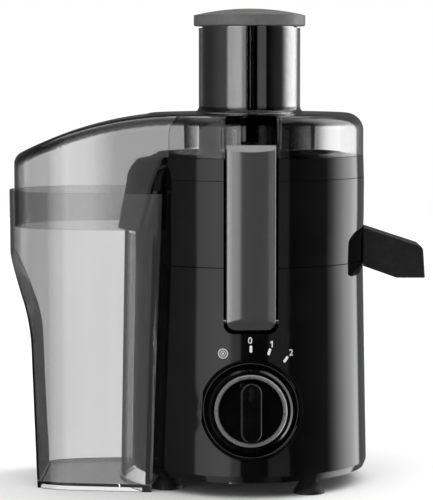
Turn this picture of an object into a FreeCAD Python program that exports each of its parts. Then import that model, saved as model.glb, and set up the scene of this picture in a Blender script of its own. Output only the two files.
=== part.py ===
"""Centrifugal juicer: motor base, juice bowl, sieve, clear lid with feed tube,
pusher, locking arms, pour spout and pulp container.  Millimetres, +Z up.

Everything is drawn about the drive axis (x = 0, y = 0, counter at z = 0).  The pulp
container is towards -X, the spout towards +X and the speed dial towards -Y.  save()
moves each piece so that the origin is the middle of the footprint on the counter.
"""
import FreeCAD, Part
import math
import os

V = FreeCAD.Vector
UP = V(0, 0, 1)
CENTRE = V(0, 0, 0)
FRONT = -1
REAR = 1

# Motor base
WALL = 2.4
COUNTER_Z = -4.0
BASE_Z = 8.0
BEVEL_Z = 13.0
BASE_BEVEL_R = 90.3
BASE_R = 92.2
HOUSING_TOP_R = 89.0
HOUSING_TOP_Z = 169.4
DECK_LOW_Z = 163.0
DECK_TOP_Z = 166.3
BOSS_TOP_Z = 176.0
BOSS_R = 17.0
BOSS_BORE_R = 12.0
PLATE_R = 87.0
PLATE_TOP_Z = 11.2
FOOT_CIRCLE_R = 78.0
FOOT_R = 12.0
FOOT_STEM_R = 3.4
FOOT_ANGLES = (35, 125, 215, 305)
SCREW_CIRCLE_R = 80.5
SCREW_ANGLES = (-10, 80, 170, 260)

# Locking arms and the grooves that they lie in
ARM_W = 37.0
ARM_LOW_Z = 123.0
ARM_TOP_Z = 261.4
ARM_BACK = 80.0
ARM_FACE = 92.6
PIVOT_OUT = 83.2
PIVOT_Z = 129.0
PIN_R = 1.8
PIN_HALF = 24.5
GROOVE_W = 41.0
GROOVE_LOW_Z = 120.6
GROOVE_CORNER_R = 7.0
GROOVE_FLOOR = 78.5
PIVOT_FLOOR = 76.5

# Dial
DIAL_Z = 63.0
RECESS_R = 38.4
RECESS_FLOOR = 83.5
KNOB_R = 31.5
KNOB_BACK = 84.1
KNOB_FACE = 92.4
KNOB_RIDGE_FACE = 105.4
RIDGE_W = 16.0
RIDGE_L = 45.0
RING_R_OUT = 27.3
RING_R_IN = 24.3
SPINDLE_R = 4.0
SPINDLE_CLEAR = 0.4

# Drive
SHAFT_R = 4.0
COUPLING_R = 9.0
COUPLING_LOW_Z = 177.0
COUPLING_TOP_Z = 203.8

# Juice bowl and the ring on its rim
BOWL_LOW_Z = 170.0
BOWL_TOP_Z = 234.4
BOWL_R = 89.6
FLOOR_Z = 178.0
FLOOR_T = 2.5
FILTER_WALL_R = 76.4
FILTER_WALL_T = 2.4
FILTER_WALL_TOP_Z = 246.0
CHIMNEY_R = 21.5
CHIMNEY_BORE_R = 19.0
CHIMNEY_TOP_Z = 196.0
RING_LOW_Z = 234.8
RING_TOP_Z = 251.2
APRON_T = 2.2
APRON_LOW_Z = 195.0
APRON_SPREAD = 90.0

# Sieve
DISC_R = 45.0
DISC_LOW_Z = 204.2
DISC_TOP_Z = 206.5
SIEVE_TOP_R = 69.5
SIEVE_TOP_Z = 247.0
SIEVE_T = 1.0
RIM_R = 72.0
RIM_TOP_Z = 253.4

# Lid and feed tube
LID_R = 88.9
LID_LOW_Z = 251.6
LID_TOP_Z = 284.0
LID_T = 2.3
LID_CORNER_R = 14.0
NOTCH_W = 38.6
TUBE_R = 39.5
TUBE_T = 2.2
TUBE_LOW_Z = 222.0
TUBE_TOP_Z = 349.6
TUBE_FILLET = 5.0
COLLAR_R = 51.0
COLLAR_LOW_Z = 256.0
SKIRT_LOW_Z = 196.0
CHUTE_EDGE_R = 10.0

# Pusher
PUSHER_R = 36.8
PUSHER_LOW_Z = 224.0
CAP_LOW_Z = 351.0
CAP_SIDE_Z = 359.4
CAP_TOP_Z = 364.6
CAP_R = 43.4

# Pulp container
END_X = -129.4
END_R = 58.3
FLARE = math.radians(7.6)
END_R_DRAFT = 1.8
BAY_TOP_R = 94.6
BAY_LOW_R = 98.8
CONTAINER_TOP_Z = 224.0
CONTAINER_T = 2.2
CONTAINER_FLOOR_Z = COUNTER_Z + 3.0
CONTAINER_FLOOR_T = 2.5
BAY_WALL_TOP_Z = 191.5
HULL_RIGHT_X = -40.0
LID_GAP = 1.7

# Spout
SPOUT_HALF_W = 18.0
SPOUT_T = 2.1
SPOUT_TIP_X = 136.6
SPOUT_ROOT_R = 90.0
NOZZLE_END_X = 96.0
NOZZLE_HALF_W = 15.4
NOZZLE_LOW_Z = 178.6
NOZZLE_TOP_Z = 190.5

# Cord gland
GLAND_Z = 30.0
GLAND_R = 8.5
GLAND_BORE_R = 3.6
GLAND_INNER = 84.0
GLAND_OUTER = 98.0

# From the drive axis to the middle of the footprint
CONTAINER_LEFT_X = END_X - END_R
ORIGIN_SHIFT = V(
    -(CONTAINER_LEFT_X + SPOUT_TIP_X) / 2,
    (KNOB_RIDGE_FACE - GLAND_OUTER) / 2,
    -COUNTER_Z,
)


# ---------------------------------------------------------------- drawing helpers
def outline(steps, place):
    """Closed wire through (a, b) points; a pair of points is an arc's middle and end."""
    edges = []
    here = place(*steps[0])
    for step in steps[1:] + steps[:1]:
        if isinstance(step[0], tuple):
            end = place(*step[1])
            edges.append(Part.Arc(here, place(*step[0]), end).toShape())
        else:
            end = place(*step)
            edges.append(Part.LineSegment(here, end).toShape())
        here = end
    return Part.Wire(edges)


def upright(a, b):
    return V(a, 0, b)


def turned(steps, angle=360.0, start=0.0):
    """Solid of revolution about the drive axis from (radius, height) steps."""
    solid = Part.Face(outline(steps, upright)).revolve(CENTRE, UP, angle)
    solid.rotate(CENTRE, UP, start)
    return solid


def ring(r_in, r_out, low, high):
    return turned([(r_in, low), (r_out, low), (r_out, high), (r_in, high)])


def rod(radius, low, high, x=0.0, y=0.0):
    return Part.makeCylinder(radius, high - low, V(x, y, low))


def cross_rod(radius, half, y, z):
    """Rod along X, centred on x = 0."""
    return Part.makeCylinder(radius, 2 * half, V(-half, y, z), V(1, 0, 0))


def block(x0, x1, y0, y1, z0, z1):
    return Part.makeBox(x1 - x0, y1 - y0, z1 - z0, V(x0, y0, z0))


def joined(solids):
    whole = solids[0].fuse(solids[1:]) if len(solids) > 1 else solids[0]
    return whole.removeSplitter()


def around(count, make, start=0.0):
    """Copies of make() turned evenly about the drive axis."""
    copies = []
    for index in range(count):
        copy = make()
        copy.rotate(CENTRE, UP, start + 360.0 * index / count)
        copies.append(copy)
    return copies


def polar(radius, degrees):
    angle = math.radians(degrees)
    return radius * math.cos(angle), radius * math.sin(angle)


def on_dial(shape):
    """Stands a piece drawn about +Z on the dial's axis, its +Z towards the front."""
    shape.rotate(CENTRE, V(1, 0, 0), 90)
    shape.translate(V(0, 0, DIAL_Z))
    return shape


def save(name, shape):
    moved = shape.copy()
    moved.translate(ORIGIN_SHIFT)
    moved.exportStep("parts/" + name + ".step")


# ---------------------------------------------------------------- arm grooves
def groove(side, floor, grow=0.0, width=GROOVE_W, low=GROOVE_LOW_Z):
    """Column that a locking arm lies in: rounded at its foot, open above."""
    half = width / 2 + grow
    corner = GROOVE_CORNER_R + grow
    foot = low - grow
    cut = corner * (1 - math.sqrt(0.5))
    steps = [
        (-half, LID_TOP_Z + 20),
        (-half, foot + corner),
        ((-half + cut, foot + cut), (-half + corner, foot)),
        (half - corner, foot),
        ((half - cut, foot + cut), (half, foot + corner)),
        (half, LID_TOP_Z + 20),
    ]
    wire = outline(steps, lambda x, z: V(x, side * (floor - grow), z))
    return Part.Face(wire).extrude(V(0, side * 60, 0))


def grooved_shell(outside, inside, floor, width=GROOVE_W, wall=WALL):
    """Shell between two solids, carried round behind both arm grooves."""
    for side in (FRONT, REAR):
        outside = outside.cut(groove(side, floor, 0.0, width))
        inside = inside.cut(groove(side, floor, wall, width))
    return outside.cut(inside)


# ---------------------------------------------------------------- motor base
def dial_recess(grow):
    depth = RECESS_FLOOR - grow
    return on_dial(Part.makeCylinder(RECESS_R + grow, 40, V(0, 0, depth)))


def housing_profile(inset):
    return [
        (0, BASE_Z - inset),
        (BASE_BEVEL_R - inset, BASE_Z - inset),
        (BASE_R - inset, BEVEL_Z),
        (HOUSING_TOP_R - inset, HOUSING_TOP_Z + inset),
        (0, HOUSING_TOP_Z + inset),
    ]


def motor_housing():
    outside = turned(housing_profile(0)).cut(dial_recess(0))
    inside = turned(housing_profile(WALL)).cut(dial_recess(WALL))
    shell = grooved_shell(outside, inside, PIVOT_FLOOR)
    ledge = ring(82.0, 87.4, DECK_LOW_Z - 3, DECK_LOW_Z)
    ledge = ledge.cut([groove(side, PIVOT_FLOOR) for side in (FRONT, REAR)])
    posts = []
    pilots = []
    for angle in SCREW_ANGLES:
        x, y = polar(SCREW_CIRCLE_R, angle)
        web = block(SCREW_CIRCLE_R, BASE_R - 1, -1.5, 1.5, PLATE_TOP_Z + 4, 21.5)
        web.rotate(CENTRE, UP, angle)
        posts += [rod(4.6, PLATE_TOP_Z, 21.5, x, y), web]
        pilots.append(rod(2.05, PLATE_TOP_Z - 1, 19.5, x, y))
    bearings = [cross_rod(PIN_R + 0.05, PIN_HALF + 4, side * PIVOT_OUT, PIVOT_Z)
                for side in (FRONT, REAR)]
    spindle_hole = on_dial(Part.makeCylinder(SPINDLE_R + SPINDLE_CLEAR, 40, V(0, 0, 60)))
    gland_hole = Part.makeCylinder(GLAND_R - 1.4, 30, V(0, GLAND_INNER - 4, GLAND_Z), V(0, 1, 0))
    return joined([shell, ledge] + posts).cut(pilots + bearings + [spindle_hole, gland_hole])


def housing_deck():
    deck = joined([
        ring(BOSS_BORE_R, 85.9, DECK_LOW_Z, DECK_TOP_Z),
        ring(BOSS_BORE_R, BOSS_R, DECK_LOW_Z, BOSS_TOP_Z),
        ring(60.0, 62.0, DECK_LOW_Z - 6, DECK_LOW_Z + 1),
    ])
    return deck.cut([groove(side, PIVOT_FLOOR, WALL + 0.1) for side in (FRONT, REAR)])


def base_plate():
    plate = rod(PLATE_R, BASE_Z + 0.4, PLATE_TOP_Z)
    rim = ring(PLATE_R - 1.6, PLATE_R, BASE_Z + 0.4, PLATE_TOP_Z + 3)
    rim = rim.cut([rod(7, PLATE_TOP_Z, 20, *polar(SCREW_CIRCLE_R, a)) for a in SCREW_ANGLES])
    holes = []
    for angle in FOOT_ANGLES:
        holes.append(rod(FOOT_STEM_R + 0.1, 0, 20, *polar(FOOT_CIRCLE_R, angle)))
    for angle in SCREW_ANGLES:
        holes.append(rod(2.2, 0, 20, *polar(SCREW_CIRCLE_R, angle)))
    vents = []
    for radius in (24, 32, 40, 48):
        for middle in (45, 135, 225, 315):
            vents.append(turned([(radius, 0), (radius + 3.4, 0), (radius + 3.4, 20), (radius, 20)],
                                64, middle - 32))
    return joined([plate, rim]).cut(holes + vents)


def suction_foot(angle):
    x, y = polar(FOOT_CIRCLE_R, angle)
    foot = turned([
        (0, COUNTER_Z + 2.6), (6, COUNTER_Z + 2.0), (9, COUNTER_Z), (FOOT_R, COUNTER_Z),
        (FOOT_R - 0.6, COUNTER_Z + 2.4), (7, BASE_Z - 3), (6, BASE_Z + 0.4),
        (FOOT_STEM_R, BASE_Z + 0.4), (FOOT_STEM_R, PLATE_TOP_Z), (5.2, PLATE_TOP_Z),
        (4.4, PLATE_TOP_Z + 2.4), (0, PLATE_TOP_Z + 2.4),
    ])
    foot.translate(V(x, y, 0))
    return foot


def base_screws():
    screws = []
    for angle in SCREW_ANGLES:
        x, y = polar(SCREW_CIRCLE_R, angle)
        head = rod(4.0, BASE_Z - 1.6, BASE_Z + 0.4, x, y)
        slot = block(x - 3, x + 3, y - 0.5, y + 0.5, BASE_Z - 2, BASE_Z - 0.8)
        screws.append(joined([rod(2.0, BASE_Z, 19, x, y), head]).cut(slot))
    return Part.makeCompound(screws)


def shaft_seal():
    return turned([(SHAFT_R + 0.08, 169), (11, 168), (12, 168), (12, 174), (11, 174),
                   (11, 170), (SHAFT_R + 0.08, 171)])


def interlock_switches():
    cases = []
    for side in (FRONT, REAR):
        y0, y1 = sorted((side * 66, side * 76))
        case = block(26, 34, y0, y1, 116, 134)
        lever = block(33.5, 36, y0 + 3, y1 - 3, 119, 129)
        cases.append(joined([case, lever]))
    return Part.makeCompound(cases)


def cord_gland():
    sleeve = Part.makeCylinder(GLAND_R - 1.5, GLAND_OUTER - GLAND_INNER,
                               V(0, GLAND_INNER, GLAND_Z), V(0, 1, 0))
    collar = Part.makeCone(GLAND_R, GLAND_R - 1.0, 4.8, V(0, GLAND_OUTER - 4.8, GLAND_Z), V(0, 1, 0))
    nut = Part.makeCylinder(GLAND_R, 3.5, V(0, GLAND_INNER, GLAND_Z), V(0, 1, 0))
    bore = Part.makeCylinder(GLAND_BORE_R, 60, V(0, 60, GLAND_Z), V(0, 1, 0))
    return joined([sleeve, collar, nut]).cut(bore)


# ---------------------------------------------------------------- motor
STACK_LOW_Z = 62.0
STACK_TOP_Z = 106.0
CORE_R = 24.0
BRACKET_X = 34.0
UPPER_BRACKET_Z = 144.0
LOWER_BRACKET_Z = 30.0
BEARING_R = 11.0


def motor_stator():
    stack = block(-42, 42, -36, 36, STACK_LOW_Z, STACK_TOP_Z)
    stack = stack.cut([rod(CORE_R + 0.6, 0, 200)])
    windows = [block(-16, 16, side * 27 - 5, side * 27 + 5, 0, 200) for side in (FRONT, REAR)]
    holes = [rod(2.1, 0, 200, x, y) for x in (-BRACKET_X, BRACKET_X) for y in (-29, 29)]
    return stack.cut(windows + holes)


def stator_coils():
    coils = []
    for side in (FRONT, REAR):
        y0, y1 = side * 27 - 4.6, side * 27 + 4.6
        outer = block(-24, 24, y0, y1, STACK_LOW_Z - 14, STACK_TOP_Z + 12)
        ends = outer.cut([block(-30, 30, -60, 60, STACK_LOW_Z, STACK_TOP_Z), rod(CORE_R + 0.8, 0, 200)])
        core = block(-15.6, 15.6, y0, y1, STACK_LOW_Z - 1, STACK_TOP_Z + 1)
        coils.append(joined([ends, core.cut(rod(CORE_R + 0.8, 0, 200))]))
    return Part.makeCompound(coils)


def motor_bracket(low, seat_low, seat_high):
    bar = block(-42, 42, -34, 34, low, low + 4)
    bar = bar.cut([block(-26, 26, side * 34 - 16, side * 34 + 16, 0, 200) for side in (FRONT, REAR)])
    cup = rod(BEARING_R + 3, seat_low, seat_high)
    holes = [rod(2.1, 0, 200, x, y) for x in (-BRACKET_X, BRACKET_X) for y in (-29, 29)]
    return joined([bar, cup]).cut(holes + [rod(BEARING_R, seat_low, seat_high - 2), rod(6.0, 0, 200)])


def upper_motor_bracket():
    return motor_bracket(UPPER_BRACKET_Z, UPPER_BRACKET_Z - 6, UPPER_BRACKET_Z + 4)


def lower_motor_bracket():
    return motor_bracket(LOWER_BRACKET_Z, LOWER_BRACKET_Z - 4, LOWER_BRACKET_Z + 6)


def bearing(low):
    return ring(SHAFT_R + 0.04, BEARING_R, low, low + 7)


def motor_bolts():
    bolts = []
    for x in (-BRACKET_X, BRACKET_X):
        for y in (-29, 29):
            shank = rod(2.0, LOWER_BRACKET_Z - 1, UPPER_BRACKET_Z + 4, x, y)
            head = rod(3.8, LOWER_BRACKET_Z - 3, LOWER_BRACKET_Z, x, y)
            bolts.append(joined([shank, head]))
    return Part.makeCompound(bolts)


def rubber_mounts():
    low = UPPER_BRACKET_Z + 4
    waist = (low + DECK_LOW_Z) / 2
    mounts = []
    for x in (-BRACKET_X, BRACKET_X):
        for y in (-22, 22):
            mount = turned([(0, low), (6, low), (4.6, waist), (6, DECK_LOW_Z), (0, DECK_LOW_Z)])
            mount.translate(V(x, y, 0))
            mounts.append(mount)
    return Part.makeCompound(mounts)


def carbon_brushes():
    brushes = []
    for side in (FRONT, REAR):
        x0, x1 = sorted((side * 11.4, side * 25))
        carbon = block(x0, x1, -3, 3, 41, 47)
        h0, h1 = sorted((side * 15, side * 28))
        holder = block(h0, h1, -5, 5, 39.5, 48.5)
        brushes.append(joined([carbon, holder]))
    return Part.makeCompound(brushes)


def speed_switch():
    case = block(-17, 17, -17, 17, 58, 80.4)
    tabs = [block(x - 1.5, x + 1.5, -4, 4, 52, 58.5) for x in (-10, 0, 10)]
    socket = Part.makeCylinder(SPINDLE_R + SPINDLE_CLEAR, 30, V(0, 0, 60))
    return on_dial(joined([case] + tabs).cut(socket))


def control_board():
    board = block(-62, -18, -26, 26, 15, 16.6)
    legs = [rod(2.2, PLATE_TOP_Z, 15.2, x, y) for x in (-58, -22) for y in (-22, 22)]
    parts = [
        rod(6, 16, 27, -52, -14),
        rod(4, 16, 25, -52, 2),
        block(-44, -30, 4, 22, 16, 24),
        block(-42, -26, -20, -8, 16, 20),
    ]
    return joined([board] + legs + parts)


def motor_shaft():
    return turned([(0, 24), (3, 24), (SHAFT_R, 25), (SHAFT_R, COUPLING_TOP_Z - 4), (0, COUPLING_TOP_Z - 4)])


def armature_core():
    core = ring(SHAFT_R, CORE_R, STACK_LOW_Z, STACK_TOP_Z)
    slots = around(12, lambda: block(14, CORE_R + 2, -1.1, 1.1, 0, 200))
    return core.cut(slots)


def armature_windings():
    low = turned([(SHAFT_R, STACK_LOW_Z - 12), (17, STACK_LOW_Z - 10), (21, STACK_LOW_Z - 4),
                  (20, STACK_LOW_Z), (SHAFT_R, STACK_LOW_Z)])
    high = turned([(SHAFT_R, STACK_TOP_Z), (20, STACK_TOP_Z), (21, STACK_TOP_Z + 4),
                   (17, STACK_TOP_Z + 10), (SHAFT_R, STACK_TOP_Z + 10)])
    return Part.makeCompound([low, high])


def commutator():
    barrel = ring(SHAFT_R, 11, 39, 49.5)
    return barrel.cut(around(24, lambda: block(9.4, 12, -0.25, 0.25, 39.5, 60)))


def cooling_fan():
    hub = ring(SHAFT_R, 9, 122, 134)
    disc = ring(8, 40, 132.6, 134)
    blades = around(11, lambda: block(8.5, 39, -0.8, 0.8, 122, 133))
    return joined([hub, disc] + blades)


def drive_coupling():
    """Ribbed drive dog on the top of the motor shaft."""
    body = rod(COUPLING_R - 1.2, COUPLING_LOW_Z, COUPLING_TOP_Z)
    ribs = around(6, lambda: block(4, COUPLING_R - 0.1, -1.4, 1.4, COUPLING_LOW_Z, COUPLING_TOP_Z - 2))
    flange = rod(COUPLING_R + 1.5, COUPLING_LOW_Z, COUPLING_LOW_Z + 2)
    return joined([body, flange] + ribs).cut(rod(SHAFT_R, 0, COUPLING_TOP_Z - 4))


# ---------------------------------------------------------------- dial
def stadium(half_w, half_l, low, high):
    """Upright solid with a slot-shaped outline, long along Y."""
    run = half_l - half_w
    steps = [(half_w, -run), (half_w, run), ((0, half_l), (-half_w, run)), (-half_w, -run)]
    edges = outline(steps, lambda x, y: V(x, y, low)).Edges[:3]
    edges.append(Part.Arc(V(-half_w, -run, low), V(0, -half_l, low), V(half_w, -run, low)).toShape())
    return Part.Face(Part.Wire(edges)).extrude(V(0, 0, high - low))


def pointer_slot(low, high):
    slot = stadium(2.0, 5.5, low, high)
    slot.translate(V(0, 14.5, 0))
    return slot


def speed_knob():
    dish = turned([
        (0, KNOB_BACK), (KNOB_R, KNOB_BACK), (KNOB_R, KNOB_FACE - 2), (KNOB_R - 1.6, KNOB_FACE),
        (RING_R_OUT + 0.05, KNOB_FACE), (RING_R_OUT + 0.05, KNOB_FACE - 2),
        (RING_R_IN - 0.05, KNOB_FACE - 2), (RING_R_IN - 0.05, KNOB_FACE), (RING_R_IN - 3, KNOB_FACE - 3),
        (0, KNOB_FACE - 4),
    ])
    ridge = stadium(RIDGE_W / 2, RIDGE_L / 2, KNOB_BACK + 1, KNOB_RIDGE_FACE)
    top = [e for e in ridge.Edges if e.BoundBox.ZMin > KNOB_RIDGE_FACE - 0.1]
    ridge = ridge.makeFillet(1.6, top)
    knob = joined([dish, ridge])
    return on_dial(knob.cut([pointer_slot(KNOB_RIDGE_FACE - 1.2, 120), rod(SPINDLE_R, 0, KNOB_BACK + 3)]))


def knob_trim_ring():
    return on_dial(turned([
        (RING_R_IN, KNOB_FACE - 1.9), (RING_R_OUT, KNOB_FACE - 1.9), (RING_R_OUT, KNOB_FACE + 1.2),
        (RING_R_OUT - 0.7, KNOB_FACE + 2), (RING_R_IN + 0.7, KNOB_FACE + 2), (RING_R_IN, KNOB_FACE + 1.2),
    ]))


def knob_pointer():
    return on_dial(pointer_slot(KNOB_RIDGE_FACE - 1.2, KNOB_RIDGE_FACE - 0.2))


def knob_spindle():
    return on_dial(rod(SPINDLE_R, 62, KNOB_BACK + 3))


# ---------------------------------------------------------------- locking arms
def locking_arm(side):
    """Long clamp bar on a pivot near its foot, its face crowned about the drive axis."""
    profile = [
        (ARM_BACK, PIVOT_Z + 4), (ARM_BACK, ARM_TOP_Z - 3), (ARM_BACK + 2, ARM_TOP_Z),
        (ARM_FACE - 5, ARM_TOP_Z), (ARM_FACE, ARM_TOP_Z - 5), (ARM_FACE, PIVOT_Z + 3.5),
        (ARM_FACE - 4.5, ARM_LOW_Z + 0.4), (PIVOT_OUT, ARM_LOW_Z),
        ((PIVOT_OUT - 3.9, PIVOT_Z - 4.4), (ARM_BACK - 1.8, PIVOT_Z)),
    ]
    half = ARM_W / 2
    wire = outline(profile, lambda y, z: V(-half, side * y, z))
    bar = Part.Face(wire).extrude(V(ARM_W, 0, 0))
    crown = Part.makeCylinder(ARM_FACE, 200, V(0, 0, 100))
    foot = groove(side, ARM_BACK - 5, 1.0, ARM_W - 2, ARM_LOW_Z + 1)
    bar = bar.common(crown).common(foot)
    edges = [e for e in bar.Edges if e.BoundBox.ZLength > 80 and abs(e.BoundBox.YMin) > ARM_BACK + 3]
    if edges:
        bar = bar.makeFillet(1.5, edges)
    return bar.cut(cross_rod(PIN_R + 0.06, 40, side * PIVOT_OUT, PIVOT_Z))


def arm_pin(side):
    return cross_rod(PIN_R, PIN_HALF, side * PIVOT_OUT, PIVOT_Z)


# ---------------------------------------------------------------- juice bowl
def juice_bowl():
    outside = turned([(0, BOWL_LOW_Z), (HOUSING_TOP_R, BOWL_LOW_Z), (BOWL_R, 210), (BOWL_R, BOWL_TOP_Z),
                      (0, BOWL_TOP_Z)])
    wall_r = BOWL_R - WALL
    floor_top = FLOOR_Z + FLOOR_T
    above = turned([(0, floor_top), (wall_r - 0.3, floor_top), (wall_r, 210), (wall_r, 300), (0, 300)])
    below = turned([(0, 160), (HOUSING_TOP_R - WALL, 160), (HOUSING_TOP_R - WALL, FLOOR_Z), (0, FLOOR_Z)])
    body = grooved_shell(outside, above, GROOVE_FLOOR)
    body = grooved_shell(body, below, GROOVE_FLOOR)
    body = joined([
        body.cut(rod(CHIMNEY_BORE_R, 0, 300)),
        ring(FILTER_WALL_R - FILTER_WALL_T, FILTER_WALL_R, floor_top - 1, FILTER_WALL_TOP_Z),
        ring(CHIMNEY_BORE_R, CHIMNEY_R, BOWL_LOW_Z + 1, CHIMNEY_TOP_Z),
        ring(69.5, 72.0, DECK_TOP_Z + 0.4, FLOOR_Z + 1),
        block(85, NOZZLE_END_X, -NOZZLE_HALF_W, NOZZLE_HALF_W, NOZZLE_LOW_Z, NOZZLE_TOP_Z),
    ])
    channel = block(70, 120, -NOZZLE_HALF_W + 2, NOZZLE_HALF_W - 2, floor_top, NOZZLE_TOP_Z - 2)
    return body.cut(channel)


def bowl_seal():
    return turned([(BOSS_R + 0.4, 172.5), (CHIMNEY_BORE_R, 172), (CHIMNEY_BORE_R, 175.5),
                   (BOSS_R + 1.2, 175)])


def apron_line(offset):
    """Outer face of the pulp apron, from the ring's rim out and down to its lip."""
    return [
        (79.0, 249.5 + offset),
        ((90.6 + offset * 0.7, 244.2 + offset * 0.7), (95.6 + offset, 232.0)),
        (102.6 + offset, APRON_LOW_Z),
    ]


def apron():
    outer = apron_line(0)
    inner = apron_line(-APRON_T)
    steps = outer + [inner[2], inner[1][1], (inner[1][0], inner[0])]
    half = APRON_SPREAD / 2
    sheet = turned(steps, APRON_SPREAD, 180 - half)
    clear = container_plan(CONTAINER_T + 1.2, 0, 300)
    low = sheet.common(clear)
    high = sheet.common(block(-200, 200, -200, 200, CONTAINER_TOP_Z + 2, 300))
    return joined([low, high])


def pulp_guide_ring():
    outside = turned([
        (0, RING_LOW_Z), (BOWL_R - 0.1, RING_LOW_Z), (LID_R + 0.1, RING_TOP_Z), (0, RING_TOP_Z),
    ])
    inside = turned([(0, 200), (BOWL_R - WALL, 200), (LID_R - WALL, 300), (0, 300)])
    shell = grooved_shell(outside, inside, GROOVE_FLOOR, wall=2.0)
    floor = ring(74.2, 87.2, FILTER_WALL_TOP_Z + 0.2, FILTER_WALL_TOP_Z + 2.2)
    floor = floor.cut([groove(side, GROOVE_FLOOR) for side in (FRONT, REAR)])
    lip = ring(74.2, 76.2, FILTER_WALL_TOP_Z + 0.2, RING_TOP_Z)
    mouth = turned([(79, FILTER_WALL_TOP_Z + 2.2), (120, FILTER_WALL_TOP_Z - 3), (120, 270), (79, 270)],
                   APRON_SPREAD - 6, 183 - APRON_SPREAD / 2)
    return joined([shell.cut(mouth), floor, lip, apron()])


# ---------------------------------------------------------------- sieve
def sieve_basket():
    return turned([(DISC_R - 0.1, DISC_TOP_Z), (DISC_R + SIEVE_T, DISC_TOP_Z),
                   (SIEVE_TOP_R, SIEVE_TOP_Z), (SIEVE_TOP_R - SIEVE_T - 0.1, SIEVE_TOP_Z)])


def sieve_rim():
    return turned([(66.4, SIEVE_TOP_Z), (RIM_R - 1.4, SIEVE_TOP_Z), (RIM_R, SIEVE_TOP_Z + 1.2),
                   (RIM_R, RIM_TOP_Z), (RIM_R - 2, RIM_TOP_Z), (66.4, SIEVE_TOP_Z + 1.6)])


def grating_disc():
    disc = rod(DISC_R + SIEVE_T, DISC_LOW_Z, DISC_TOP_Z)
    teeth = []
    for row, radius in enumerate((12, 18, 24, 30, 36)):
        count = 8 + 3 * row
        for index in range(count):
            x, y = polar(radius, 360.0 * (index + 0.5 * (row % 2)) / count)
            teeth.append(Part.makeCone(1.2, 0.3, 1.8, V(x, y, DISC_TOP_Z - 0.1)))
    return joined([disc] + teeth)


def sieve_hub():
    sleeve = ring(COUPLING_R + 0.4, 15.5, 186, DISC_LOW_Z)
    flange = ring(COUPLING_R + 0.4, 30, DISC_LOW_Z - 2, DISC_LOW_Z)
    ribs = around(8, lambda: block(14, 29, -0.8, 0.8, DISC_LOW_Z - 5, DISC_LOW_Z - 1))
    return joined([sleeve, flange] + ribs)


# ---------------------------------------------------------------- lid
def container_plan(inset, low, high, right=HULL_RIGHT_X):
    """Upright solid over the pulp side's plan: round end, flaring sides."""
    r = END_R - inset
    tx = END_X - r * math.sin(FLARE)
    ty = r * math.cos(FLARE)
    ry = ty + (right - tx) * math.tan(FLARE)
    steps = [(tx, ty), ((END_X - r, 0), (tx, -ty)), (right, -ry), (right, ry)]
    return Part.Face(outline(steps, lambda x, y: V(x, y, low))).extrude(V(0, 0, high - low))


def chute_solid(inset, drop):
    """Pulp side of the lid, filled: arched top with rounded edges."""
    body = container_plan(CONTAINER_T + LID_GAP + inset, SKIRT_LOW_Z - (2 if inset else 0), 300)
    top = [
        (-30, 282.8 - drop), ((-108, 277.8 - drop), (-190, 246.5 - drop)), (-190, 320), (-30, 320),
    ]
    cutter = Part.Face(outline(top, lambda x, z: V(x, -90, z))).extrude(V(0, 180, 0))
    body = body.cut(cutter)
    edges = [e for e in body.Edges
             if e.BoundBox.ZMin > 225 and e.BoundBox.YLength > 2 and e.BoundBox.XMax < -30
             or (e.BoundBox.ZMin > 225 and e.BoundBox.XLength > 40)]
    return body.makeFillet(CHUTE_EDGE_R - inset, edges)


def drum_solid(inset):
    radius = LID_R - inset
    corner = LID_CORNER_R - inset
    top = LID_TOP_Z - inset
    cut = corner * (1 - math.sqrt(0.5))
    low = LID_LOW_Z - (5 if inset else 0)
    return turned([
        (0, low), (radius, low), (radius, top - corner),
        ((radius - cut, top - cut), (radius - corner, top)), (0, top),
    ])


def lid():
    outside = drum_solid(0).fuse(chute_solid(0, 0))
    inside = drum_solid(LID_T).fuse(chute_solid(LID_T, LID_T))
    shell = grooved_shell(outside, inside, GROOVE_FLOOR, NOTCH_W, LID_T)
    rim = LID_LOW_Z
    gap = 1.0
    over_apron = apron_line(gap)
    shell = shell.cut(turned([(0, 150), (102.6 + gap, 150), over_apron[2], over_apron[1][1],
                              (LID_R + 2.5, rim), (0, rim)]))
    bore = TUBE_R - TUBE_T
    tube = ring(bore, TUBE_R, TUBE_LOW_Z, TUBE_TOP_Z)
    foot = TUBE_R + TUBE_FILLET
    bend = TUBE_FILLET * (1 - math.sqrt(0.5))
    fillet = turned([
        (TUBE_R - 1, LID_TOP_Z - 1), (foot, LID_TOP_Z - 1), (foot, LID_TOP_Z),
        ((TUBE_R + bend, LID_TOP_Z + bend), (TUBE_R, LID_TOP_Z + TUBE_FILLET)),
        (TUBE_R - 1, LID_TOP_Z + TUBE_FILLET),
    ])
    collar = ring(COLLAR_R - 2, COLLAR_R, COLLAR_LOW_Z, LID_TOP_Z - 1)
    return joined([shell, tube, fillet, collar]).cut(rod(bore, 0, 400))


# ---------------------------------------------------------------- pusher
def pusher_sleeve():
    return turned([
        (0, PUSHER_LOW_Z), (PUSHER_R - 1.5, PUSHER_LOW_Z), (PUSHER_R, PUSHER_LOW_Z + 1.5),
        (PUSHER_R, CAP_LOW_Z), (PUSHER_R - 2, CAP_LOW_Z), (PUSHER_R - 2, PUSHER_LOW_Z + 2.4),
        (0, PUSHER_LOW_Z + 2.4),
    ])


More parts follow.
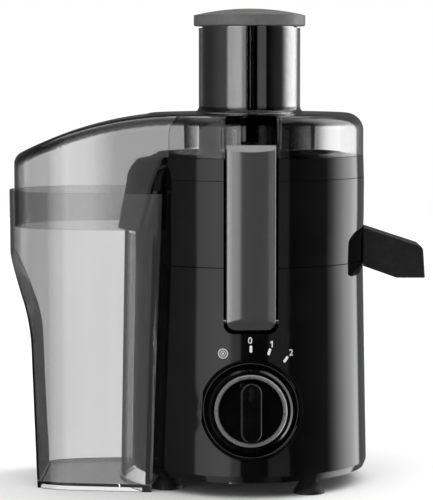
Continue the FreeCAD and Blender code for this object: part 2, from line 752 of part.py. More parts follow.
def pusher_cap():
    """Domed cap with a plug that sits in the top of the sleeve."""
    rise = CAP_TOP_Z - CAP_SIDE_Z
    dome_r = (CAP_R ** 2 + rise ** 2) / (2 * rise)
    dome = Part.makeSphere(dome_r, V(0, 0, CAP_TOP_Z - dome_r))
    head = turned([
        (0, CAP_LOW_Z), (PUSHER_R - 5, CAP_LOW_Z), (PUSHER_R - 5, CAP_LOW_Z - 7),
        (PUSHER_R - 2.1, CAP_LOW_Z - 7), (PUSHER_R - 2.1, CAP_LOW_Z), (CAP_R - 0.8, CAP_LOW_Z),
        (CAP_R, CAP_LOW_Z + 0.8), (CAP_R, CAP_TOP_Z), (0, CAP_TOP_Z),
    ])
    return head.common(dome)


# ---------------------------------------------------------------- pulp container
def container_side_cut(offset):
    """Everything left of the container's recessed end face."""
    steps = [
        (-188.2, 179), (-173.4, 136.6), ((-169.4, 119), (-167.8, 100)), (-163.6, -10), (-260, -10), (-260, 179),
    ]
    return Part.Face(outline(steps, lambda a, b: V(a + offset, -100, b))).extrude(V(0, 200, 0))


def container_body(inset, low, high):
    """Filled container shape, tapering a little towards the counter."""
    def plan(z):
        r = END_R - inset - END_R_DRAFT * (CONTAINER_TOP_Z - z) / CONTAINER_TOP_Z
        tx, ty = END_X - r * math.sin(FLARE), r * math.cos(FLARE)
        ry = ty + (HULL_RIGHT_X - tx) * math.tan(FLARE)
        steps = [(tx, ty), ((END_X - r, 0), (tx, -ty)), (HULL_RIGHT_X, -ry), (HULL_RIGHT_X, ry)]
        return outline(steps, lambda a, b: V(a, b, z))
    body = Part.makeLoft([plan(low), plan(high)], True, True)
    return body.cut(container_side_cut(inset))


def bay(inset):
    """Round bay in the container's side that the motor base stands in."""
    low = COUNTER_Z - 1
    height = CONTAINER_TOP_Z + 1 - low
    return Part.makeCone(BAY_LOW_R + inset, BAY_TOP_R + inset, height, V(0, 0, low))


def pulp_container():
    body = container_body(0, COUNTER_Z, CONTAINER_TOP_Z).cut(bay(0))
    cavity_low = CONTAINER_FLOOR_Z + CONTAINER_FLOOR_T
    cavity = container_body(CONTAINER_T, cavity_low, CONTAINER_TOP_Z + 1)
    body = body.cut(cavity.cut(bay(CONTAINER_T)))
    body = body.cut(cavity.common(block(-200, 0, -200, 200, BAY_WALL_TOP_Z, 300)))
    underside = container_body(CONTAINER_T + 1, COUNTER_Z - 1, CONTAINER_FLOOR_Z).cut(bay(CONTAINER_T + 1))
    return body.cut(underside)


# ---------------------------------------------------------------- spout
def juice_spout():
    outer = [
        (80, 198.6), (135.0, 180.6), (SPOUT_TIP_X, 156.0), (114.4, 156.0), (80, 168.2),
    ]
    inner = [
        (70, 199.5), (128.6, 180.2), ((132.6, 177.8), (133.5, 173.0)), (134.4, 150), (116.6, 150),
        (116.6, 157.6), (70, 174.2),
    ]
    half = SPOUT_HALF_W
    wall = SPOUT_T
    shell = Part.Face(outline(outer, lambda x, z: V(x, -half, z))).extrude(V(0, 2 * half, 0))
    tip = [e for e in shell.Edges if e.BoundBox.XMin > 130 and e.BoundBox.ZMin > 175]
    shell = shell.makeFillet(6.0, tip)
    sides = [e for e in shell.Edges if e.BoundBox.YLength < 0.1 and e.BoundBox.XMax > 90]
    shell = shell.makeFillet(2.0, [e for e in sides if e.BoundBox.ZMax > 175])
    hollow = Part.Face(outline(inner, lambda x, z: V(x, wall - half, z))).extrude(V(0, 2 * (half - wall), 0))
    return shell.cut([hollow, rod(SPOUT_ROOT_R, 0, 300)])


# ---------------------------------------------------------------- all the pieces
def main():
    os.makedirs("parts", exist_ok=True)
    pieces = {
        "motor_housing": motor_housing(), "housing_deck": housing_deck(), "base_plate": base_plate(),
        "base_screws": base_screws(), "shaft_seal": shaft_seal(), "cord_gland": cord_gland(),
        "interlock_switches": interlock_switches(), "motor_stator": motor_stator(),
        "stator_coils": stator_coils(), "upper_motor_bracket": upper_motor_bracket(),
        "lower_motor_bracket": lower_motor_bracket(),
        "upper_bearing": bearing(UPPER_BRACKET_Z - 5), "lower_bearing": bearing(LOWER_BRACKET_Z - 3),
        "motor_bolts": motor_bolts(), "rubber_mounts": rubber_mounts(),
        "carbon_brushes": carbon_brushes(), "speed_switch": speed_switch(),
        "control_board": control_board(), "motor_shaft": motor_shaft(),
        "armature_core": armature_core(), "armature_windings": armature_windings(),
        "commutator": commutator(), "cooling_fan": cooling_fan(), "drive_coupling": drive_coupling(),
        "speed_knob": speed_knob(), "knob_trim_ring": knob_trim_ring(), "knob_pointer": knob_pointer(),
        "knob_spindle": knob_spindle(), "locking_arm_front": locking_arm(FRONT),
        "locking_arm_rear": locking_arm(REAR), "arm_pin_front": arm_pin(FRONT),
        "arm_pin_rear": arm_pin(REAR), "juice_bowl": juice_bowl(), "bowl_seal": bowl_seal(),
        "pulp_guide_ring": pulp_guide_ring(), "sieve_basket": sieve_basket(), "sieve_rim": sieve_rim(),
        "grating_disc": grating_disc(), "sieve_hub": sieve_hub(), "lid": lid(),
        "pusher_sleeve": pusher_sleeve(), "pusher_cap": pusher_cap(), "pulp_container": pulp_container(),
        "juice_spout": juice_spout(),
    }
    for number, angle in enumerate(FOOT_ANGLES, 1):
        pieces["suction_foot_%d" % number] = suction_foot(angle)
    for name, shape in pieces.items():
        save(name, shape)
        print(name, "valid" if shape.isValid() else "INVALID", len(shape.Solids), round(shape.Volume))


main()
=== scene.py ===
import math

import bmesh
import bpy
from mathutils import Matrix, Vector


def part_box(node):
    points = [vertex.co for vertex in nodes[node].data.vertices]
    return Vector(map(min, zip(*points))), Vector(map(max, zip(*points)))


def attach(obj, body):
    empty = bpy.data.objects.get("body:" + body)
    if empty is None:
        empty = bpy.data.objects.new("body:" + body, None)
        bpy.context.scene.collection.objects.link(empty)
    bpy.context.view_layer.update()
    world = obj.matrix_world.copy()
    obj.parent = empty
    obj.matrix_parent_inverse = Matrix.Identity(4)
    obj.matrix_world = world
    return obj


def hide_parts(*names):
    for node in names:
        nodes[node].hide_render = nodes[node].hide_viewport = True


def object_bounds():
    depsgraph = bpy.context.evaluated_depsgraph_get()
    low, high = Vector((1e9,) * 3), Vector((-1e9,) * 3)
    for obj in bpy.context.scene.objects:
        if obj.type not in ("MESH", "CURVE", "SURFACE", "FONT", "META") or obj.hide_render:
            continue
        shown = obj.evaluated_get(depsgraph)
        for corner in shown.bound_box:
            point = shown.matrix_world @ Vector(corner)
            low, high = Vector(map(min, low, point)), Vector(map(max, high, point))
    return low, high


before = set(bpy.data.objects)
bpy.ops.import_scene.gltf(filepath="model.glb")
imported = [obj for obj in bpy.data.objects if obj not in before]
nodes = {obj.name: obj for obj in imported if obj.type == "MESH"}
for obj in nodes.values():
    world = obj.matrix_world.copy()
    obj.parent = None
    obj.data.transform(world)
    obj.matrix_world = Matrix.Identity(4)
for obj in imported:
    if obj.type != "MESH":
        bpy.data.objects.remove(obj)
cad_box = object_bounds()

MM = 0.001
shaft_low, shaft_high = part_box("motor_shaft")
AXIS_X = (shaft_low.x + shaft_high.x) / 2
AXIS_Y = (shaft_low.y + shaft_high.y) / 2
AXIS = Vector((AXIS_X, AXIS_Y, 0))
# Heights in mm below are the part's own: the base's lower edge is at 8 and the counter at -4.
BASE_EDGE = 8.0
DATUM_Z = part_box("motor_housing")[0].z - BASE_EDGE * MM
knob_low, knob_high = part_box("speed_knob")
DIAL_Z = ((knob_low.z + knob_high.z) / 2 - DATUM_Z) / MM


# ---------------------------------------------------------------- node helpers
def grey(value):
    return (value, value, value)


def wire(tree, value, socket):
    """Links a node's output to a socket, or sets the socket to a plain value."""
    if isinstance(value, bpy.types.NodeSocket):
        tree.links.new(value, socket)
    else:
        socket.default_value = value


def maths(tree, operation, *values):
    node = tree.nodes.new("ShaderNodeMath")
    node.operation = operation
    for socket, value in zip(node.inputs, values):
        wire(tree, value, socket)
    return node.outputs[0]


def noise(tree, vector, scale, detail):
    node = tree.nodes.new("ShaderNodeTexNoise")
    node.inputs["Scale"].default_value = scale
    node.inputs["Detail"].default_value = detail
    tree.links.new(vector, node.inputs["Vector"])
    return node.outputs["Fac"]


def map_range(tree, value, source, target=(0.0, 1.0), smooth=False):
    """Stretches one span of values over another."""
    node = tree.nodes.new("ShaderNodeMapRange")
    if smooth:
        node.interpolation_type = "SMOOTHSTEP"
    node.inputs["From Min"].default_value, node.inputs["From Max"].default_value = source
    node.inputs["To Min"].default_value, node.inputs["To Max"].default_value = target
    tree.links.new(value, node.inputs["Value"])
    return node.outputs["Result"]


def grey_ramp(tree, factor, levels):
    """A colour ramp through (position, grey level) stops."""
    node = tree.nodes.new("ShaderNodeValToRGB")
    stops = node.color_ramp.elements
    stops.remove(stops[-1])
    for number, (position, level) in enumerate(levels):
        stop = stops[0] if number == 0 else stops.new(position)
        stop.position = position
        stop.color = (*grey(level), 1)
    tree.links.new(factor, node.inputs["Fac"])
    return node.outputs["Color"]


def mix_colour(tree, a, b, factor=1.0, blend="MIX"):
    node = tree.nodes.new("ShaderNodeMix")
    node.data_type = "RGBA"
    node.blend_type = blend
    wire(tree, factor, node.inputs["Factor"])
    wire(tree, a, node.inputs["A"])
    wire(tree, b, node.inputs["B"])
    return node.outputs["Result"]


def mix_value(tree, a, b, factor):
    node = tree.nodes.new("ShaderNodeMix")
    node.data_type = "FLOAT"
    wire(tree, factor, node.inputs["Factor"])
    wire(tree, a, node.inputs["A"])
    wire(tree, b, node.inputs["B"])
    return node.outputs["Result"]


def coordinates(tree, kind="Object"):
    return tree.nodes.new("ShaderNodeTexCoord").outputs[kind]


def along_axes(tree, vector):
    """A vector's X, Y and Z as a node's outputs."""
    node = tree.nodes.new("ShaderNodeSeparateXYZ")
    tree.links.new(vector, node.inputs["Vector"])
    return node.outputs


def shader_of(mat):
    return mat.node_tree.nodes["Principled BSDF"]


def own_colour(mat):
    """The output that colours a finish so far."""
    return shader_of(mat).inputs["Base Color"].links[0].from_socket


# ---------------------------------------------------------------- finishes
MOTTLE_STOPS = (0.35, 0.65)
WEAR_SPAN = (0.3, 0.7)


def surface(name, dark, light, mottle, rough, bump, stretch=(1, 1, 1), **sockets):
    """A moulded or metal finish: two close shades, a wandering roughness and a fine bump."""
    mat = bpy.data.materials.new(name)
    mat.use_nodes = True
    tree = mat.node_tree
    shader = shader_of(mat)
    for socket, value in sockets.items():
        shader.inputs[socket.replace("_", " ")].default_value = value
    mapping = tree.nodes.new("ShaderNodeMapping")
    mapping.inputs["Scale"].default_value = stretch
    tree.links.new(coordinates(tree), mapping.inputs["Vector"])
    place = mapping.outputs["Vector"]

    ramp = tree.nodes.new("ShaderNodeValToRGB")
    for stop, position, colour in zip(ramp.color_ramp.elements, MOTTLE_STOPS, (dark, light)):
        stop.position = position
        stop.color = (*colour, 1)
    tree.links.new(noise(tree, place, mottle, 4), ramp.inputs["Fac"])
    tree.links.new(ramp.outputs["Color"], shader.inputs["Base Color"])

    wear = noise(tree, place, mottle * 0.6, 6)
    tree.links.new(map_range(tree, wear, WEAR_SPAN, rough), shader.inputs["Roughness"])

    fineness, strength, distance = bump
    relief = tree.nodes.new("ShaderNodeBump")
    relief.inputs["Strength"].default_value = strength
    relief.inputs["Distance"].default_value = distance
    tree.links.new(noise(tree, place, fineness, 3), relief.inputs["Height"])
    tree.links.new(relief.outputs["Normal"], shader.inputs["Normal"])
    return mat


# Painted shade and painted highlight across the clear plastics, by place: (metres right of the drive
# axis, how much of the light is kept, above 1 brighter).
PAINTED_LIGHT_SPAN = 0.2
CONTAINER_PAINTED_SHADE = [(-0.160, 0.78), (-0.153, 0.78), (-0.147, 0.94), (-0.132, 1.0), (0.0, 1.0)]
LID_PAINTED_SHADE_AND_HIGHLIGHT = [
    (-0.160, 0.84), (-0.153, 0.84), (-0.147, 1.0), (-0.125, 0.98), (-0.104, 0.72), (-0.048, 0.72),
    (-0.044, 1.05), (0.019, 1.05), (0.024, 0.42), (0.050, 0.36), (0.056, 1.05), (0.059, 1.2),
    (0.074, 1.2), (0.078, 0.90),
]
# How much light a clear wall keeps, from seen square on to seen along its length.
SLANT_TINT = [(0.35, 1.0), (0.72, 0.62), (0.98, 0.16)]
EVERY_HEIGHT = 10.0
# The lid's top line in mm: flat over the bowl, then an arc down along the pulp chute.
LID_TOP = 282.8
CHUTE_ARC = [(-30.0, 282.8), (-108.0, 277.8), (-190.0, 246.5)]


def smoked(mat, painted_across, painted_below=EVERY_HEIGHT):
    """Tints a clear finish, deeper where a wall is seen along its length, and paints shade and
    highlight on it by place across.

    The painted shade and highlight by place stops at a height in metres, so that a lid's feed tube
    keeps out of it.
    """
    tree = mat.node_tree
    slant = tree.nodes.new("ShaderNodeLayerWeight")
    slant.inputs["Blend"].default_value = 0.5
    depth = grey_ramp(tree, slant.outputs["Facing"], SLANT_TINT)
    x, _, z = along_axes(tree, coordinates(tree))
    # Painted shade and painted highlight by place across the wall, darker or brighter by x alone.
    across = map_range(tree, x, (AXIS_X - PAINTED_LIGHT_SPAN, AXIS_X + PAINTED_LIGHT_SPAN))
    along = grey_ramp(tree, across, [((right + PAINTED_LIGHT_SPAN) / (2 * PAINTED_LIGHT_SPAN), level)
                                     for right, level in painted_across])
    tint_and_painted_light = mix_colour(tree, own_colour(mat), depth, blend="MULTIPLY")
    tint_and_painted_light = mix_colour(tree, tint_and_painted_light, along, maths(tree, "LESS_THAN", z, painted_below), "MULTIPLY")
    tree.links.new(tint_and_painted_light, shader_of(mat).inputs["Base Color"])
    return mat


LID_TOP_SLACK = 0.5
# Where a hole of the sieve ends, as a share of the space between holes.
HOLE_EDGE = (0.24, 0.32)


def circle_through(a, b, c):
    """Middle and radius of the circle through three points."""
    (ax, ay), (bx, by), (cx, cy) = a, b, c
    twice = 2 * (ax * (by - cy) + bx * (cy - ay) + cx * (ay - by))
    a2, b2, c2 = ax * ax + ay * ay, bx * bx + by * by, cx * cx + cy * cy
    x = (a2 * (by - cy) + b2 * (cy - ay) + c2 * (ay - by)) / twice
    y = (a2 * (cx - bx) + b2 * (ax - cx) + c2 * (bx - ax)) / twice
    return x, y, math.hypot(ax - x, ay - y)


def distance(tree, u, v):
    return maths(tree, "SQRT", maths(tree, "ADD", maths(tree, "MULTIPLY", u, u),
                                     maths(tree, "MULTIPLY", v, v)))


def shade_top_line(mat, level, reach):
    """Darkens a lid with painted shade within some mm of its top line."""
    tree = mat.node_tree
    middle_x, middle_z, radius = circle_through(*CHUTE_ARC)
    x, _, z = along_axes(tree, coordinates(tree))
    off = distance(tree, maths(tree, "SUBTRACT", x, AXIS_X + middle_x * MM),
                   maths(tree, "SUBTRACT", z, DATUM_Z + middle_z * MM))
    under_arc = maths(tree, "SUBTRACT", radius * MM, off)
    under_flat = maths(tree, "SUBTRACT", DATUM_Z + LID_TOP * MM, z)
    on_chute = maths(tree, "LESS_THAN", x, AXIS_X + CHUTE_ARC[0][0] * MM)
    depth = mix_value(tree, under_flat, under_arc, on_chute)
    fade = map_range(tree, depth, (reach[0] * MM, reach[1] * MM), (level, 1.0), smooth=True)
    below_top = maths(tree, "GREATER_THAN", under_flat, -LID_TOP_SLACK * MM)
    tint_and_painted_light = mix_colour(tree, own_colour(mat), fade, below_top, "MULTIPLY")
    tree.links.new(tint_and_painted_light, shader_of(mat).inputs["Base Color"])
    return mat


def perforated(mat, across, up):
    """Rows of fine staggered holes round the drive axis, drawn as dark dots of painted shade in the
    sheet.
    """
    tree = mat.node_tree
    centre = tree.nodes.new("ShaderNodeMapping")
    centre.inputs["Location"].default_value = (-AXIS_X, -AXIS_Y, 0)
    tree.links.new(coordinates(tree), centre.inputs["Vector"])
    x, y, z = along_axes(tree, centre.outputs["Vector"])
    turn_share = maths(tree, "MULTIPLY", maths(tree, "ARCTAN2", y, x), across / (2 * math.pi))
    row = maths(tree, "MULTIPLY", z, up)
    stagger = maths(tree, "MULTIPLY", maths(tree, "FLOOR", row), 0.5)
    u = maths(tree, "SUBTRACT", maths(tree, "FRACT", maths(tree, "ADD", turn_share, stagger)), 0.5)
    v = maths(tree, "SUBTRACT", maths(tree, "FRACT", row), 0.5)
    sheet = map_range(tree, distance(tree, u, v), HOLE_EDGE, smooth=True)
    # The holes are painted shade, a near-black colour where the sheet is not cut.
    colour = mix_colour(tree, (*grey(0.01), 1), own_colour(mat), sheet)
    tree.links.new(colour, shader_of(mat).inputs["Base Color"])
    return mat


def all_finishes():
    return {
        "gloss_black": surface("gloss black plastic", grey(0.002), grey(0.004), 30, (0.045, 0.075),
                               (45, 0.02, 0.0004), IOR=1.5),
        "arm_grey": surface("satin grey lacquer", grey(0.27), grey(0.30), 900, (0.09, 0.13),
                            (2200, 0.02, 0.0001), Metallic=0.82),
        "satin_black": surface("satin black plastic", grey(0.004), grey(0.008), 60, (0.16, 0.22),
                               (1800, 0.04, 0.0001), IOR=1.5),
        "trim_grey": surface("painted ring grey", grey(0.26), grey(0.31), 500, (0.25, 0.33),
                             (1500, 0.03, 0.0001), Metallic=0.5),
        # A lighter grey that paints the highlight of the dial well's edge on a raised line.
        "seam_grey": surface("rim highlight grey", grey(0.035), grey(0.05), 500, (0.30, 0.40),
                             (1500, 0.03, 0.0001)),
        # Both clear finishes carry painted shade by place across; the lid's carries painted highlight
        # too.
        "smoked_clear": smoked(surface("smoked clear plastic", grey(0.79), grey(0.82), 8, (0.0, 0.02),
                                       (25, 0.015, 0.0004), Transmission_Weight=1.0, IOR=1.45),
                               CONTAINER_PAINTED_SHADE),
        "smoked_lid": smoked(surface("smoked clear lid", grey(0.79), grey(0.82), 8, (0.0, 0.02),
                                     (25, 0.015, 0.0004), Transmission_Weight=1.0, IOR=1.45), LID_PAINTED_SHADE_AND_HIGHLIGHT,
                             painted_below=DATUM_Z + (LID_TOP + LID_TOP_SLACK) * MM),
        "dark_chrome": surface("dark chrome", grey(0.30), grey(0.33), 25, (0.03, 0.07),
                               (40, 0.01, 0.0003), Metallic=1.0),
        "cap_grey": surface("matt grey plastic", grey(0.115), grey(0.13), 300, (0.42, 0.52),
                            (2500, 0.10, 0.0002)),
        "spout_black": surface("matt black plastic", grey(0.006), grey(0.010), 300, (0.40, 0.50),
                               (2600, 0.14, 0.0002)),
        "rubber_black": surface("black rubber", grey(0.005), grey(0.011), 200, (0.55, 0.72),
                                (1500, 0.15, 0.0003)),
        "sieve_steel": surface("sieve steel", grey(0.52), grey(0.60), 400, (0.22, 0.34),
                               (1200, 0.06, 0.0002), Metallic=1.0),
        "zinc_steel": surface("zinc plated steel", grey(0.45), grey(0.60), 120, (0.28, 0.42),
                              (900, 0.08, 0.0002), Metallic=1.0),
        "lamination": surface("stacked iron sheets", grey(0.22), grey(0.36), 1, (0.40, 0.55),
                              (10, 0.30, 0.0004), stretch=(8, 8, 900), Metallic=0.9),
        "copper": surface("enamelled copper wire", (0.42, 0.13, 0.05), (0.62, 0.24, 0.10), 3,
                          (0.22, 0.35), (6, 0.6, 0.0006), stretch=(12, 12, 260), Metallic=0.9),
        "bright_steel": surface("ground steel", grey(0.60), grey(0.68), 6, (0.14, 0.24),
                                (30, 0.08, 0.0001), stretch=(6, 6, 200), Metallic=1.0),
        "alloy": surface("die cast alloy", grey(0.50), grey(0.62), 180, (0.35, 0.50),
                         (700, 0.12, 0.0003), Metallic=1.0),
        "carbon": surface("carbon block", grey(0.018), grey(0.035), 500, (0.45, 0.60),
                          (2500, 0.15, 0.0002)),
        "board_green": surface("green circuit board", (0.010, 0.085, 0.030), (0.02, 0.14, 0.05), 260,
                               (0.28, 0.40), (900, 0.10, 0.0002)),
        "inner_grey": surface("grey moulded nylon", grey(0.20), grey(0.25), 90, (0.40, 0.52),
                              (1600, 0.10, 0.0002)),
        "sieve_mesh": perforated(surface("perforated steel", grey(0.50), grey(0.58), 400, (0.22, 0.34),
                                         (1200, 0.06, 0.0002), Metallic=1.0), 260, 620),
        "print_white": surface("white print", grey(0.72), grey(0.80), 600, (0.45, 0.55),
                               (2500, 0.05, 0.0001)),
    }


finishes = all_finishes()


def dress_frame():
    """Every machined or moulded node takes the finish of its slot."""
    for node in nodes.values():
        slot = node.material_slots[0].material.name.split(".")[0]
        node.material_slots[0].material = finishes[slot]


dress_frame()
nodes["sieve_basket"].material_slots[0].material = finishes["sieve_mesh"]
# The lid gets a band of painted shade along its top line.
nodes["lid"].material_slots[0].material = shade_top_line(finishes["smoked_lid"], 0.27, (6.0, 9.0))


# ---------------------------------------------------------------- making pieces
def piece(name, bm, body, finish, replaces=()):
    """A finished piece from a bmesh, riding on one body."""
    bmesh.ops.recalc_face_normals(bm, faces=bm.faces)
    mesh = bpy.data.meshes.new(name)
    bm.to_mesh(mesh)
    bm.free()
    mesh.materials.append(finishes[finish])
    mesh.shade_smooth()
    mesh.set_sharp_from_angle(angle=math.radians(35))
    obj = bpy.data.objects.new(name, mesh)
    bpy.context.scene.collection.objects.link(obj)
    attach(obj, body)
    if replaces:
        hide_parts(*replaces)
    return obj


def turn(outline, steps=160):
    """A closed outline of (radius, height) in mm, spun full circle about the drive axis."""
    bm = bmesh.new()
    verts = [bm.verts.new((AXIS_X + r * MM, AXIS_Y, DATUM_Z + z * MM)) for r, z in outline]
    edges = [bm.edges.new(pair) for pair in zip(verts, verts[1:] + verts[:1])]
    bmesh.ops.spin(bm, geom=verts + edges, cent=AXIS, axis=(0, 0, 1), angle=2 * math.pi,
                   steps=steps, use_merge=True)
    bmesh.ops.remove_doubles(bm, verts=bm.verts, dist=1e-6)
    return bm


# ---------------------------------------------------------------- printed dial marks
BODY_FOOT_R, BODY_FOOT_Z = 92.2, 13.0
BODY_TOP_R, BODY_TOP_Z = 89.0, 169.4
PRINT_PROUD = 0.12


def on_body(bm):
    """Lays a flat print, drawn in x and z in mm about the dial, on the round body's front."""
    for v in bm.verts:
        x, depth, z = v.co.x, v.co.y, v.co.z + DIAL_Z
        share = (z - BODY_FOOT_Z) / (BODY_TOP_Z - BODY_FOOT_Z)
        radius = BODY_FOOT_R + (BODY_TOP_R - BODY_FOOT_R) * share
        y = -math.sqrt(radius ** 2 - x ** 2) + depth
        v.co = Vector((AXIS_X + x * MM, AXIS_Y + y * MM, DATUM_Z + z * MM))


def around_dial(radius, degrees):
    angle = math.radians(degrees)
    return radius * math.sin(angle), radius * math.cos(angle)


TICK_RING_R = 46.4
TICK_WIDE, TICK_TALL = 2.0, 5.1
NUMBER_SIZE = 6.8
PULSE_RING_R, PULSE_DEGREES = 47.6, -26


def tick_mark(degrees):
    """A short white bar that points at the middle of the dial."""
    bm = bmesh.new()
    x, z = around_dial(TICK_RING_R, degrees)
    bmesh.ops.create_cube(bm, size=1)
    bmesh.ops.scale(bm, vec=(TICK_WIDE, 2 * PRINT_PROUD, TICK_TALL), verts=bm.verts)
    uprights = [e for e in bm.edges if abs((e.verts[0].co - e.verts[1].co).normalized().y) > 0.9]
    bmesh.ops.bevel(bm, geom=uprights, offset=0.7, segments=4, affect="EDGES", profile=0.5, material=-1)
    bmesh.ops.rotate(bm, cent=(0, 0, 0), matrix=Matrix.Rotation(math.radians(degrees), 3, "Y"),
                     verts=bm.verts)
    bmesh.ops.translate(bm, vec=(x, 0, z), verts=bm.verts)
    on_body(bm)
    return bm


def number_mark(text, x, z):
    """A number as a thin raised print."""
    words = bpy.data.curves.new("number " + text, "FONT")
    words.body = text
    words.size = NUMBER_SIZE
    words.align_x = "CENTER"
    words.align_y = "CENTER"
    words.extrude = PRINT_PROUD
    holder = bpy.data.objects.new("number " + text, words)
    flat = bpy.data.meshes.new_from_object(holder)
    bm = bmesh.new()
    bm.from_mesh(flat)
    bpy.data.objects.remove(holder)
    bmesh.ops.remove_doubles(bm, verts=bm.verts, dist=1e-4)
    bmesh.ops.rotate(bm, cent=(0, 0, 0), matrix=Matrix.Rotation(math.radians(90), 3, "X"),
                     verts=bm.verts)
    bmesh.ops.translate(bm, vec=(x, 0, z), verts=bm.verts)
    on_body(bm)
    return bm


def number_one(x, z):
    """The figure one, with its flag, as a thin raised print."""
    bm = bmesh.new()
    outline = [(-0.1, -2.4), (0.75, -2.4), (0.75, 2.4), (0.0, 2.4), (-1.2, 1.5), (-1.2, 0.6),
               (-0.1, 1.4)]
    front = bm.faces.new([bm.verts.new((x + u, -PRINT_PROUD, z + w)) for u, w in outline])
    side = bmesh.ops.extrude_face_region(bm, geom=[front])
    back = [g for g in side["geom"] if isinstance(g, bmesh.types.BMVert)]
    bmesh.ops.translate(bm, vec=(0, 2 * PRINT_PROUD, 0), verts=back)
    on_body(bm)
    return bm


def ring_on_body(section, steps, x=0, z=0):
    """A closed section of (radius, depth) in mm, spun about a point of the body's front."""
    bm = bmesh.new()
    verts = [bm.verts.new((x + r, y, z)) for r, y in section]
    edges = [bm.edges.new(pair) for pair in zip(verts, verts[1:] + verts[:1])]
    bmesh.ops.spin(bm, geom=verts + edges, cent=(x, 0, z), axis=(0, 1, 0), angle=2 * math.pi,
                   steps=steps, use_merge=True)
    bmesh.ops.remove_doubles(bm, verts=bm.verts, dist=1e-5)
    on_body(bm)
    return bm


def ring_mark(x, z, r_in, r_out):
    """A thin printed ring."""
    corners = [(r_in, -PRINT_PROUD), (r_out, -PRINT_PROUD), (r_out, PRINT_PROUD), (r_in, PRINT_PROUD)]
    return ring_on_body(corners, 40, x, z)


def dial_print():
    for label, degrees in (("0", 0), ("1", 17.3), ("2", 34.5)):
        piece("mark_tick_" + label, tick_mark(degrees), "base", "print_white")
    piece("mark_number_1", number_one(15.6, 50.0), "base", "print_white")
    for label, x, z in (("0", -0.6, 52.6), ("2", 30.2, 43.0)):
        piece("mark_number_" + label, number_mark(label, x, z), "base", "print_white")
    x, z = around_dial(PULSE_RING_R, PULSE_DEGREES)
    for name, r_in, r_out in (("ring", 3.1, 3.7), ("inner", 1.7, 2.1), ("dot", 0.05, 0.8)):
        piece("mark_pulse_" + name, ring_mark(x, z, r_in, r_out), "base", "print_white")


dial_print()


def dial_lip():
    """Shallow dished lip round the dial's well, following the round body."""
    section = [(35.6, 1.9), (37.0, 0.95), (39.0, -0.06), (39.5, -0.02), (39.5, 0.8), (36.0, 2.6)]
    piece("dial_well_lip", ring_on_body(section, 120), "base", "gloss_black")


dial_lip()


# The raised line round the dial's well, coloured as a painted highlight.
RIM_LINE_R = 35.5
RIM_LINE_THICK = 0.22


def dial_rim_highlight():
    """Fine raised line round the dial's well that catches real light; its lighter grey adds a painted
    highlight of the well's edge.
    """
    section = []
    for step in range(12):
        angle = 2 * math.pi * step / 12
        section.append((RIM_LINE_R + RIM_LINE_THICK * math.cos(angle), RIM_LINE_THICK * math.sin(angle)))
    piece("dial_well_highlight_line", ring_on_body(section, 144), "base", "seam_grey")


dial_rim_highlight()


GUIDE_WIDE, GUIDE_DEEP, GUIDE_TALL = 3.2, 5.0, 24.0
GUIDE_ASIDE, GUIDE_BEHIND, GUIDE_ABOVE = 2.4, 1.5, 9.0


def arm_guides():
    """Two clear upright ribs on the lid's front that guide the locking arm's top."""
    arm_low, arm_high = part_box("locking_arm_front")
    lid_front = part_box("lid")[0].y
    for side, edge, way in (("left", arm_low.x, -1), ("right", arm_high.x, 1)):
        bm = bmesh.new()
        bmesh.ops.create_cube(bm, size=1)
        bmesh.ops.scale(bm, vec=(GUIDE_WIDE * MM, GUIDE_DEEP * MM, GUIDE_TALL * MM), verts=bm.verts)
        bmesh.ops.bevel(bm, geom=bm.edges[:], offset=1.0 * MM, segments=4, affect="EDGES", profile=0.5,
                        material=-1)
        place = (edge + way * GUIDE_ASIDE * MM, lid_front + GUIDE_BEHIND * MM,
                 arm_high.z + GUIDE_ABOVE * MM)
        bmesh.ops.translate(bm, vec=place, verts=bm.verts)
        piece("lid_arm_guide_" + side, bm, "lid", "smoked_clear")


arm_guides()


# ---------------------------------------------------------------- pusher
PUSHER_LOW, PUSHER_HIGH, PUSHER_R = 224.0, 351.0, 36.8
KEYWAY_HALF = math.radians(3.8)
KEYWAY_RIB = math.radians(0.8)
KEYWAY_DEEP, RIB_DEEP = 0.9, 0.15
BARREL_SKIN = 0.5


def pusher_barrel():
    """Chromed tube of the pusher, closed below, with a keyway and its rib at front and back."""
    low, high, r = PUSHER_LOW, PUSHER_HIGH, PUSHER_R
    bm = turn([
        (0, low), (r - 2.6, low), (r - 2.2, low), (r - 1.1, low + 0.3), (r - 0.3, low + 1.1),
        (r, low + 2.2), (r, low + 2.8), (r, high - 1.0), (r, high - 0.4), (r - 0.4, high),
        (r - 2.0, high), (r - 2.0, low + 3.2), (r - 3.0, low + 2.4), (0, low + 2.4),
    ], steps=360)
    for v in bm.verts:
        arm = Vector((v.co.x - AXIS_X, v.co.y - AXIS_Y, 0))
        if arm.length < (r - BARREL_SKIN) * MM:
            continue
        off = abs(math.atan2(arm.x, abs(arm.y)))
        if off > KEYWAY_HALF:
            continue
        depth = RIB_DEEP if off < KEYWAY_RIB else KEYWAY_DEEP
        place = AXIS + arm.normalized() * (arm.length - depth * MM)
        v.co = Vector((place.x, place.y, v.co.z))
    piece("pusher_barrel", bm, "pusher", "dark_chrome", ["pusher_sleeve"])


pusher_barrel()


# ---------------------------------------------------------------- floor, light, camera
def floor():
    bm = bmesh.new()
    bmesh.ops.create_grid(bm, x_segments=4, y_segments=4, size=3.0)
    bmesh.ops.translate(bm, vec=(0, 0, cad_box[0][2]), verts=bm.verts)
    mesh = bpy.data.meshes.new("studio_floor")
    bm.to_mesh(mesh)
    bm.free()
    mesh.materials.append(surface("pale paper", grey(0.86), grey(0.88), 3, (0.75, 0.85),
                                  (300, 0.02, 0.0002)))
    obj = bpy.data.objects.new("studio_floor", mesh)
    bpy.context.scene.collection.objects.link(obj)
    obj.visible_glossy = False
    obj.visible_transmission = False


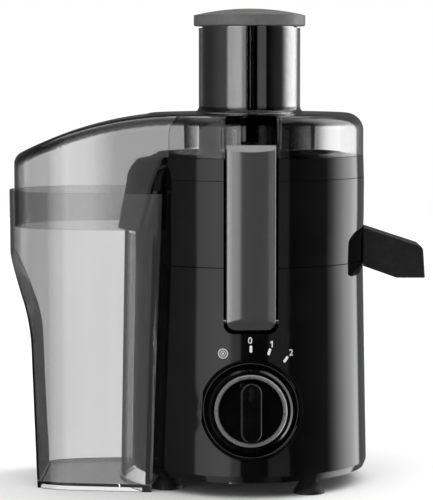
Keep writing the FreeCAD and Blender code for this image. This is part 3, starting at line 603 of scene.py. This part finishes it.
# Brightness of the studio's upright soft boxes by compass angle in degrees: 0 is towards the
# camera, positive to the right.
SOFT_BOXES = [
    (-180, 0.08), (-152, 0.12), (-127, 0.08), (-105, 0.09), (-56, 0.24), (-53, 1.2), (-30, 1.5),
    (-21, 1.5), (-17, 0.8), (-10, 0.7), (-8.5, 0.0), (17, 0.0), (19, 0.25), (38, 0.25), (40, 0.0),
    (82, 0.1), (90, 0.8), (97, 1.8), (109, 3.1), (128, 3.3), (134, 3.0), (139, 0.3), (180, 0.08),
]
BRIGHTEST = 5.0
# How steep a direction is, as its height share, where the ceiling starts and where the floor ends.
CEILING = (0.80, 0.95)
FLOOR_DARK = (-0.90, -0.65)


def studio():
    world = bpy.data.worlds.new("studio")
    world.use_nodes = True
    bpy.context.scene.world = world
    tree = world.node_tree
    back = tree.nodes["Background"]
    back.inputs["Color"].default_value = (1, 1, 1, 1)
    x, y, z = along_axes(tree, coordinates(tree, "Generated"))
    compass = maths(tree, "ARCTAN2", x, maths(tree, "MULTIPLY", y, -1))
    turn_share = map_range(tree, compass, (-math.pi, math.pi))
    boxes = grey_ramp(tree, turn_share, [((degrees + 180) / 360, level / BRIGHTEST)
                                         for degrees, level in SOFT_BOXES])
    upright = maths(tree, "MULTIPLY", boxes, BRIGHTEST)
    overhead_too = mix_value(tree, upright, 1.0, map_range(tree, z, CEILING, smooth=True))
    reflected = maths(tree, "MULTIPLY", map_range(tree, z, FLOOR_DARK, smooth=True), overhead_too)

    # Seen straight on, or only through clear walls, the studio is a plain white backdrop.
    path = tree.nodes.new("ShaderNodeLightPath")
    bounced = maths(tree, "ADD", path.outputs["Glossy Depth"], path.outputs["Diffuse Depth"])
    through = tree.nodes.new("ShaderNodeMath")
    through.operation = "SUBTRACT"
    through.use_clamp = True
    tree.links.new(path.outputs["Is Transmission Ray"], through.inputs[0])
    tree.links.new(bounced, through.inputs[1])
    seen = maths(tree, "MAXIMUM", path.outputs["Is Camera Ray"], through.outputs[0])
    tree.links.new(mix_value(tree, reflected, 1.0, seen), back.inputs["Strength"])


OVERHEAD_POWER = 2.4
OVERHEAD_WIDE = math.radians(110)


def overhead():
    """One very wide soft light from above, for the floor and its shadow."""
    light = bpy.data.lights.new("overhead", "SUN")
    light.energy = OVERHEAD_POWER
    light.angle = OVERHEAD_WIDE
    obj = bpy.data.objects.new("overhead", light)
    obj.visible_glossy = False
    bpy.context.scene.collection.objects.link(obj)


CAMERA_LEFT = 0.0257
CAMERA_AWAY = 1.727
CAMERA_HEIGHT = 0.320  # above the datum
CAMERA_DIP = math.radians(4.76)
CAMERA_LENS = 158.95


def camera():
    data = bpy.data.cameras.new("camera")
    data.lens = CAMERA_LENS
    data.sensor_width = 36
    data.clip_start = 0.05
    obj = bpy.data.objects.new("camera", data)
    obj.location = (AXIS_X - CAMERA_LEFT, AXIS_Y - CAMERA_AWAY, DATUM_Z + CAMERA_HEIGHT)
    obj.rotation_euler = (math.pi / 2 - CAMERA_DIP, 0, 0)
    bpy.context.scene.collection.objects.link(obj)
    bpy.context.scene.camera = obj


floor()
studio()
overhead()
camera()
bpy.context.scene.view_settings.view_transform = "Standard"
